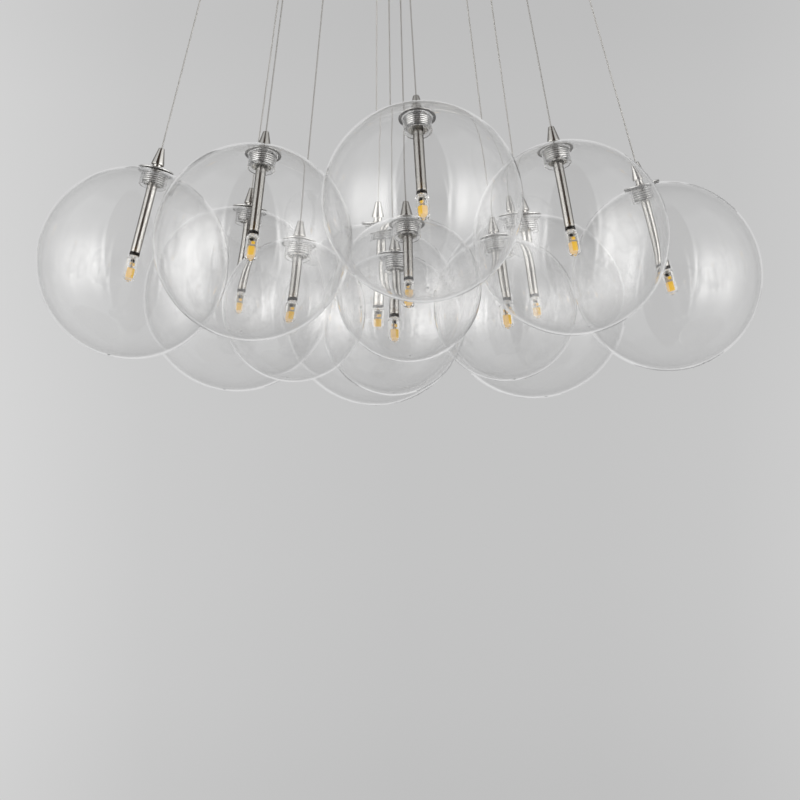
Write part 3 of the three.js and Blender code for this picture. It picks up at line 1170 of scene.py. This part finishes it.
@dataclass
class CapsuleLamp:
    """A capsule lamp with two pins. Heights are over the globe's middle."""

    diameter: float = 0.0135
    length: float = 0.028
    top: float = 0.0072
    collar: float = 0.0108
    collar_height: float = 0.0016
    shoulder_drop: float = 0.0028
    tip_height: float = 0.0047
    chin_share: float = 0.8
    chin_height: float = 0.002
    nub_share: float = 0.2
    nub_height: float = 0.0014
    nub_radius: float = 0.00108
    pin_diameter: float = 0.0008
    pin_spacing: float = 0.004
    pin_length: float = 0.0075
    pin_overlap: float = 0.0015
    phosphor_side: float = 0.005
    phosphor_top: float = -0.0062
    phosphor_length: float = 0.0096
    board_width: float = 0.0058
    board_thickness: float = 0.0006
    board_top: float = 0.0042
    board_sink: float = 0.0006
    chip_width: float = 0.0026
    chip_thickness: float = 0.0012
    chip_top: float = 0.0026
    chip_length: float = 0.0028
    chip_lift: float = 0.0005
    chip_shift: float = 0.0007
    pad_length: float = 0.003
    pad_thickness: float = 0.0014
    pad_gap: float = 0.0005
    solder_radius: float = 0.0008
    segments: int = 48
    pin_segments: int = 20
    solder_segments: int = 16

    def capsule_mesh(self) -> bpy.types.Mesh:
        """Returns the clear body: a collar at the pins, straight sides, and a nub on its tip."""
        radius = self.diameter / 2
        foot = self.top - self.length
        collar = self.collar / 2
        corners = [
            (0, self.top, 0),
            (collar, self.top, 0.0004),
            (collar, self.top - self.collar_height, 0.0003),
            (radius, self.top - self.shoulder_drop, 0.0008),
            (radius, foot + self.tip_height, 0.0022),
            (self.chin_share * radius, foot + self.chin_height, 0.0007),
            (self.nub_share * radius, foot + self.nub_height, 0.0004),
            (self.nub_radius, foot, 0.0004),
            (0, foot, 0),
        ]
        return skin("lamp_capsule", turned_rings(rounded(corners), self.segments))

    def phosphor_mesh(self) -> bpy.types.Mesh:
        """Returns the square phosphor column."""
        half = self.phosphor_side / 2
        outline = soft_ends(self.phosphor_top - self.phosphor_length, self.phosphor_top, 0.0005)
        return skin("lamp_phosphor", slab_rings((half, half), 0.0008, outline))

    def board_mesh(self) -> bpy.types.Mesh:
        """Returns the board with a chip, a small phosphor pad and drops of solder on each face."""
        face = self.board_thickness / 2
        outline = soft_ends(self.phosphor_top - self.board_sink, self.board_top, 0.0001)
        board = skin("board", slab_rings((self.board_width / 2, face), 0.0002, outline))
        chips = []
        pads = []
        chip_foot = self.chip_top - self.chip_length
        pad_foot = chip_foot - self.pad_gap - self.pad_length
        half = self.chip_width / 2
        for side in (-1, 1):
            shift = Vector((side * self.chip_shift, side * (face + self.chip_lift), 0))
            ends = soft_ends(chip_foot, self.chip_top, 0.0002)
            chip = slab_rings((half, self.chip_thickness / 2), 0.0002, ends)
            chips.append(skin("chip", moved(chip, shift)))
            ends = soft_ends(pad_foot, pad_foot + self.pad_length, 0.0003)
            pad = slab_rings((half, self.pad_thickness / 2), 0.0003, ends)
            pads.append(skin("pad", moved(pad, Vector((-shift.x, shift.y, 0)))))
        drops = []
        size = self.solder_radius
        ball = arc(size, 0, math.pi, self.solder_segments // 2)[:-1] + [(0, -size)]
        levels = (self.board_top - size, chip_foot, pad_foot + size / 2)
        for x, y, level in itertools.product((-1, 1), (-1, 1), levels):
            place = Vector((x * self.pin_spacing / 2, y * face, level))
            drops.append(skin("solder", moved(turned_rings(ball, self.solder_segments), place)))
        parts = [joined("chips", chips), joined("drops", drops), joined("pads", pads)]
        return joined("lamp_board", [board, *parts])

    def pins_mesh(self) -> bpy.types.Mesh:
        """Returns the two pins, from their rounded tips down to the board."""
        radius = self.pin_diameter / 2
        tip = self.top + self.pin_length
        foot = self.board_top - self.pin_overlap
        outline = rounded([(0, tip, 0), (radius, tip, 0.0003), (radius, foot, 0), (0, foot, 0)])
        rings = turned_rings(outline, self.pin_segments)
        shifts = [Vector((side * self.pin_spacing / 2, 0, 0)) for side in (-1, 1)]
        return joined("lamp_pins", [skin("pin", moved(rings, shift)) for shift in shifts])


@dataclass
class Drop:
    """Where one hanging lamp is, read from the frame."""

    number: int

    @property
    def name(self) -> str:
        """The drop's two digits."""
        return f"{self.number:02d}"

    @property
    def body(self) -> str:
        """The body of its cable, stem and globe."""
        return f"drop_{self.name}"

    @property
    def lamp_body(self) -> str:
        """The body of its capsule lamp."""
        return f"lamp_{self.name}"

    @property
    def outlet(self) -> Vector:
        """The tip of its outlet, where its cable starts."""
        return Vector(next(j["pos_m"] for j in frame["joints"] if j["child"] == self.body))

    @property
    def up(self) -> Vector:
        """The direction from the globe up the cable."""
        return -Vector(next(j["axis"] for j in frame["joints"] if j["child"] == self.lamp_body))

    @property
    def size(self) -> Size:
        """The size of its globe."""
        low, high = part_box(f"globe_{self.name}")
        return min(Size, key=lambda size: abs(size.value - (high - low).x))

    @property
    def centre(self) -> Vector:
        """The middle of its globe."""
        points = frame["nodes"][f"globe_{self.name}"].data.vertices
        lowest = min(point.co.dot(self.up) for point in points)
        level = lowest + self.size.value / 2
        return self.outlet + self.up * (level - self.outlet.dot(self.up))

    @property
    def matrix(self) -> Matrix:
        """Its place, with its own Z axis up the cable."""
        turn = UP.rotation_difference(self.up).to_matrix().to_4x4()
        return Matrix.Translation(self.centre) @ turn


Part = tuple[str, Callable[[], bpy.types.Mesh], list[Finish]]


@dataclass
class HangingLamps:
    """The twelve lamps on their cables."""

    drops: list[Drop] = field(default_factory=lambda: [Drop(number) for number in range(1, 13)])
    cable_diameter: float = 0.0016
    cable_reach: float = 0.0025
    cable_points: int = 16
    cable_segments: int = 16
    lamp: CapsuleLamp = field(default_factory=CapsuleLamp)
    shared: dict[str, bpy.types.Mesh] = field(default_factory=dict)

    def hang_cables(self) -> None:
        """Makes each cable, from inside its outlet down into its grip."""
        for drop in self.drops:
            foot = Stem(drop.size).tip - self.cable_reach
            top = (drop.outlet - drop.centre).length + self.cable_reach
            radius = self.cable_diameter / 2
            steps = [foot + (top - foot) * k / (self.cable_points - 1) for k in range(self.cable_points)]
            outline = [(0, foot), *((radius, level) for level in steps), (0, top)]
            mesh = skin("cable", turned_rings(outline, self.cable_segments))
            name = f"jacket_{drop.name}"
            node = f"cable_{drop.name}"
            piece = put(name, mesh, [BRAID], drop.body, node, drop.matrix)
            path = [drop.matrix @ Vector((0, 0, level)) for level in reversed(steps)]

    def fit(
        self,
        drop: Drop,
        parts: list[Part],
        body: str,
        node: str,
        matrix: Matrix,
        kind: str = "",
    ) -> None:
        """Puts parts of one drop in place. Each mesh is made once, and shared by the drops.

        Args:
            drop: The drop.
            parts: Each part's name, what makes its mesh, and its finishes.
            body: The moving body that they ride on.
            node: The CAD node that they replace.
            matrix: Their place.
            kind: Which drops share their meshes, where not all do.
        """
        for part, make, finishes in parts:
            if kind + part not in self.shared:
                self.shared[kind + part] = make()
            put(f"{part}_{drop.name}", self.shared[kind + part], finishes, body, node, matrix)

    def fit_stem(self, drop: Drop) -> None:
        """Puts the grip, cap, tube and socket of one drop in place."""
        stem = Stem(drop.size)
        parts = [
            ("grip", stem.grip_mesh, [POLISHED_NICKEL]),
            ("cap", stem.cap_mesh, [BRIGHT_NICKEL, WASHER_DARK]),
            ("tube", stem.tube_mesh, [POLISHED_NICKEL]),
            ("socket", stem.socket_mesh, [SOCKET_BLACK]),
        ]
        node = f"stem_{drop.name}"
        self.fit(drop, parts, drop.body, node, drop.matrix, drop.size.name)

    def fit_lamp(self, drop: Drop, chance: random.Random) -> None:
        """Puts the capsule lamp of one drop in place, turned as it happened to be pushed in."""
        matrix = drop.matrix @ Matrix.Rotation(chance.uniform(0, math.pi), 4, "Z")
        parts = [
            ("capsule", self.lamp.capsule_mesh, [RESIN]),
            ("phosphor", self.lamp.phosphor_mesh, [PHOSPHOR]),
            ("board", self.lamp.board_mesh, [BOARD_WHITE, CHIP_BLACK, TINNED_METAL, PHOSPHOR]),
            ("pins", self.lamp.pins_mesh, [TINNED_METAL]),
        ]
        self.fit(drop, parts, drop.lamp_body, f"bulb_{drop.name}", matrix)

    def build(self) -> None:
        """Makes all that hangs on the cables."""
        chance = random.Random(SEED)
        for drop in self.drops:
            self.fit_stem(drop)
            self.fit_lamp(drop, chance)
            mesh = Globe(drop.size).mesh(chance)
            mesh.transform(drop.matrix.to_3x3().to_4x4())
            name = f"blown_globe_{drop.name}"
            node = f"globe_{drop.name}"
            place = Matrix.Translation(drop.centre)
            put(name, mesh, [GLASS], drop.body, node, place)


@dataclass
class Canopy:
    """The spun canopy with its outlets, and what is fastened inside it."""

    radius: float = 0.22
    depth: float = 0.038
    wall: float = 0.002
    corner: float = 0.009
    outlet_flange: float = 0.012
    outlet_flange_height: float = 0.002
    outlet_diameter: float = 0.008
    outlet_tip: float = 0.005
    outlet_taper: float = 0.008
    outlet_bore: float = 0.0034
    outlet_relief: float = 0.005
    outlet_hollow: float = 0.004
    relief_level: float = 0.0026
    outlet_overlap: float = 0.0002
    seat: float = 0.0003
    nut_diameter: float = 0.012
    nut_height: float = 0.01
    nut_rim: float = 0.0006
    nut_lip: float = 0.0005
    knurls: int = 36
    knurl_depth: float = 0.00025
    stud_root: float = 0.0025
    stud_depth: float = 0.0003
    stud_pitch: float = 0.0008
    stud_foot: float = -0.0437
    stud_top: float = -0.004
    driver_round: float = 0.0016
    driver_corner: float = 0.004
    driver_seam: float = 0.7
    seam_width: float = 0.0006
    driver_ear: float = 0.014
    ear_height: float = 0.003
    edge_round: float = 0.0006
    driver_screw: Corner = (0.0042, 0.0022, 0.0009)
    poles: int = 6
    well_depth: float = 0.0048
    block_screw: Corner = (0.0021, 0.0016, 0.0007)
    block_round: float = 0.0005
    segments: int = 160
    outlet_segments: int = 48
    stud_segments: int = 24
    stud_steps: int = 6
    dome_steps: int = 12
    side_steps: int = 6

    def shell_mesh(self) -> bpy.types.Mesh:
        """Returns the spun dish, open at the top."""
        floor = -self.depth
        inner = self.radius - self.wall
        corners = [
            (0, floor, 0),
            (self.radius, floor, self.corner),
            (self.radius, 0, self.edge_round),
            (inner, 0, self.edge_round),
            (inner, floor + self.wall, self.corner - self.wall),
            (0, floor + self.wall, 0),
        ]
        return skin("spun_canopy", turned_rings(rounded(corners, steps=8), self.segments))

    def outlet_mesh(self, level: float) -> bpy.types.Mesh:
        """Returns a cable outlet. Its bore is open below, and wider inside so that the cable can lean.

        Args:
            level: The height of its tip.
        """
        flange = self.outlet_flange / 2
        body = self.outlet_diameter / 2
        relief = self.outlet_relief / 2
        top = -self.depth + self.outlet_overlap
        ledge = -self.depth - self.outlet_flange_height
        corners = [
            (0, top, 0),
            (flange, top, 0),
            (flange, ledge, 0.0006),
            (body, ledge, 0.0004),
            (body, level + self.outlet_taper, 0.0008),
            (self.outlet_tip / 2, level, 0.0002),
            (self.outlet_bore / 2, level, 0.0005),
            (relief, level + self.relief_level, 0.0003),
            (relief, level + self.outlet_hollow, 0),
            (0, level + self.outlet_hollow, 0),
        ]
        return skin("cable_outlet", turned_rings(rounded(corners), self.outlet_segments))

    def nut_mesh(self) -> bpy.types.Mesh:
        """Returns a domed cap nut with a knurled side."""
        radius = self.nut_diameter / 2
        top = -self.depth - self.seat
        shoulder = top - self.nut_height + radius
        end = top - self.nut_rim
        dome = [(x, shoulder - z) for x, z in arc(radius, 0, math.pi / 2, self.dome_steps)]
        steps = self.side_steps
        side = [(radius, shoulder + (end - shoulder) * k / steps) for k in range(1, steps + 1)]
        lip = rounded([(radius, top - self.nut_lip, 0), (radius, top, 0.0004), (0, top, 0)])

        def knurl(angle: float, height: float) -> float:
            """Returns what the knurling takes off the side."""
            ends = min(height - shoulder, end - height) / self.nut_rim
            return -self.knurl_depth * max(0.0, min(1.0, ends)) * (1 + math.cos(self.knurls * angle)) / 2

        segments = 4 * self.knurls
        rings = turned_rings(dome, segments) + turned_rings(side, segments, knurl)
        return skin("cap_nut", rings + turned_rings(lip, segments))

    def build(self, drops: list[Drop]) -> None:
        """Makes the canopy, its outlets and its nuts, and finishes what it holds."""
        shell = "canopy_shell"
        put("spun_shell", self.shell_mesh(), [SATIN_NICKEL], "canopy", shell)
        outlet = self.outlet_mesh(drops[0].outlet.z)
        for drop in drops:
            place = Matrix.Translation((drop.outlet.x, drop.outlet.y, 0))
            put(f"outlet_{drop.name}", outlet, [SATIN_NICKEL], "canopy", shell, place)
        nut = self.nut_mesh()
        for side in ("left", "right"):
            node = f"cap_nut_{side}"
            place = Matrix.Translation(middle_of(node))
            put(f"domed_nut_{side}", nut, [SATIN_NICKEL], "canopy", node, place)
        self.fit_bar()
        self.fit_driver()
        self.fit_terminals()

    def fit_bar(self) -> None:
        """Makes the ceiling bar, and the thread on each of its studs."""
        thread = Thread(self.stud_pitch, self.stud_depth, self.stud_foot, self.stud_top)
        side = [(self.stud_root, level) for level in thread.heights(self.stud_steps)]
        outline = [(0, self.stud_foot), *side, (0, self.stud_top)]
        rings = turned_rings(outline, self.stud_segments, thread.ripple)
        places = [middle_of(f"cap_nut_{side}") for side in ("left", "right")]
        threads = joined("threads", [skin("stud_thread", moved(rings, place)) for place in places])
        mesh = joined("bar_and_threads", [bevelled("ceiling_bar", self.edge_round), threads])
        put("bar_and_studs", mesh, [ZINC, TINNED_METAL], "canopy", "ceiling_bar")

    def fit_driver(self) -> None:
        """Makes the driver's case with its lid's seam, its ears and the screws that hold it."""
        low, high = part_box("led_driver")
        middle = middle_of("led_driver")
        seam = low.z + self.driver_seam * (high.z - low.z)
        width = self.seam_width
        low_edge, high_edge = seam - width / 2, seam + width / 2
        groove = [(0, seam - width), (width, low_edge), (width, high_edge), (0, seam + width)]
        case = soft_ends(low.z, high.z, self.driver_round)
        outline = case[:3] + groove + case[3:]
        half = (high - low) / 2
        body = slab_rings((half.x - self.driver_ear, half.y), self.driver_corner, outline, steps=6)
        ear_top = low.z + self.ear_height
        ends = soft_ends(low.z, ear_top, self.edge_round)
        ears = slab_rings((half.x, half.y / 2), self.driver_corner, ends, steps=6)
        heads = []
        for side in (-1, 1):
            shift = Vector((side * (half.x - self.driver_ear / 2), 0, ear_top))
            heads.append(skin("head", moved(slotted_head(*self.driver_screw), middle + shift)))
        parts = [skin("case", moved(body, middle)), skin("ears", moved(ears, middle))]
        mesh = joined("driver_case", [joined("mouldings", parts), joined("heads", heads)])
        put("driver_case", mesh, [CASE_WHITE, BRASS], "canopy", "led_driver")

    def fit_terminals(self) -> None:
        """Makes the terminal block, with a brass screw at the bottom of each well."""
        node = "terminal_block"
        low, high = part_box(node)
        pitch = (high.x - low.x) / self.poles
        heads = []
        for pole in range(self.poles):
            place = Vector((low.x + (pole + 0.5) * pitch, middle_of(node).y, high.z - self.well_depth))
            heads.append(skin("head", moved(slotted_head(*self.block_screw), place)))
        mesh = joined("block_and_screws", [bevelled(node, self.block_round), joined("heads", heads)])
        put("terminal_strip", mesh, [CASE_WHITE, BRASS], "canopy", node)


def main() -> None:
    """Builds the studio and the light."""
    logging.basicConfig(level=logging.INFO, format="%(name)s: %(message)s")
    Studio().build()
    lamps = HangingLamps()
    lamps.hang_cables()
    lamps.build()
    Canopy().build(lamps.drops)


if __name__ == "__main__":
    main()
